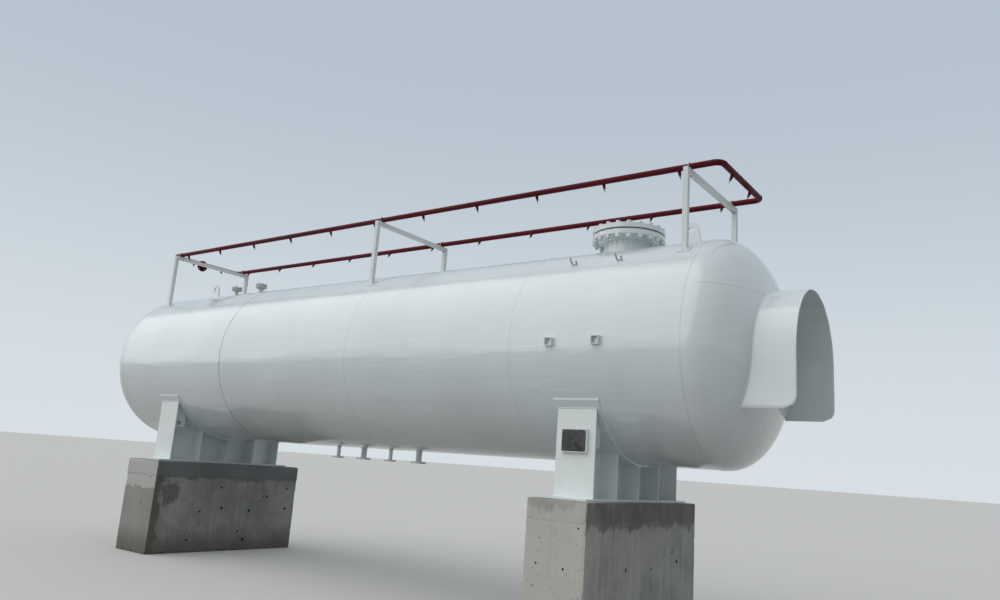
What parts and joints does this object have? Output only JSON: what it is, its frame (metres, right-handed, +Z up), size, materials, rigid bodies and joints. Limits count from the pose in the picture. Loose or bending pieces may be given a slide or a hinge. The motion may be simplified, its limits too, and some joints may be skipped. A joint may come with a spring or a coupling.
{
  "type": "horizontal pressure tank",
  "caption": "White horizontal pressure tank on two saddles and concrete piers, with a gauge hood on one end and a red spray ring above.",
  "frame": {"origin": "ground level, on the tank's middle line, midway between the plain end and the mouth of the gauge hood", "axes": "+X along the tank to the end with the gauge hood, +Y to the back, +Z up"},
  "size_m": [10.358, 2.41, 4.494],
  "materials": {
    "tank_paint": "gloss white paint",
    "saddle_paint": "white paint",
    "frame_paint": "white paint",
    "pipe_paint": "dark red paint",
    "nozzle_metal": "dark",
    "bolt_metal": "zinc plated",
    "gasket": "dull",
    "plate_metal": "dark satin",
    "concrete": "rough cast concrete",
    "mortar": "trowelled mortar"
  },
  "bodies": {
    "root": {"pier_left": "concrete", "pier_right": "concrete", "pier_cap_left": "mortar", "pier_cap_right": "mortar", "base_plate_left": "saddle_paint", "base_plate_right": "saddle_paint", "saddle_web_left": "saddle_paint", "saddle_web_right": "saddle_paint", "saddle_ribs_left": "saddle_paint", "saddle_ribs_right": "saddle_paint", "end_plates_left": "saddle_paint", "end_plates_right": "saddle_paint", "wear_plate_left": "saddle_paint", "wear_plate_right": "saddle_paint", "saddle_lugs": "saddle_paint", "plate_holder": "saddle_paint", "blank_plate": "plate_metal", "shell_course_1": "tank_paint", "shell_course_2": "tank_paint", "shell_course_3": "tank_paint", "shell_course_4": "tank_paint", "head_left": "tank_paint", "head_right": "tank_paint", "gauge_hood": "tank_paint", "manway_neck": "tank_paint", "manway_gasket": "gasket", "manway_cover": "tank_paint", "manway_studs": "tank_paint", "top_nozzles": "tank_paint", "top_nozzle_covers": "bolt_metal", "top_nozzle_studs": "bolt_metal", "bottom_nozzles": "tank_paint", "lifting_lug_left": "tank_paint", "lifting_lug_right": "tank_paint", "lug_pads": "tank_paint", "ladder_hooks": "tank_paint", "ladder_clips": "tank_paint", "portal_left": "frame_paint", "portal_middle": "frame_paint", "portal_right": "frame_paint", "spray_pipe_front": "pipe_paint", "spray_pipe_rear": "pipe_paint", "spray_pipe_right_end": "pipe_paint", "spray_header": "pipe_paint", "spray_nozzles": "nozzle_metal", "pipe_clamps": "bolt_metal"}
  },
  "joints": []
}
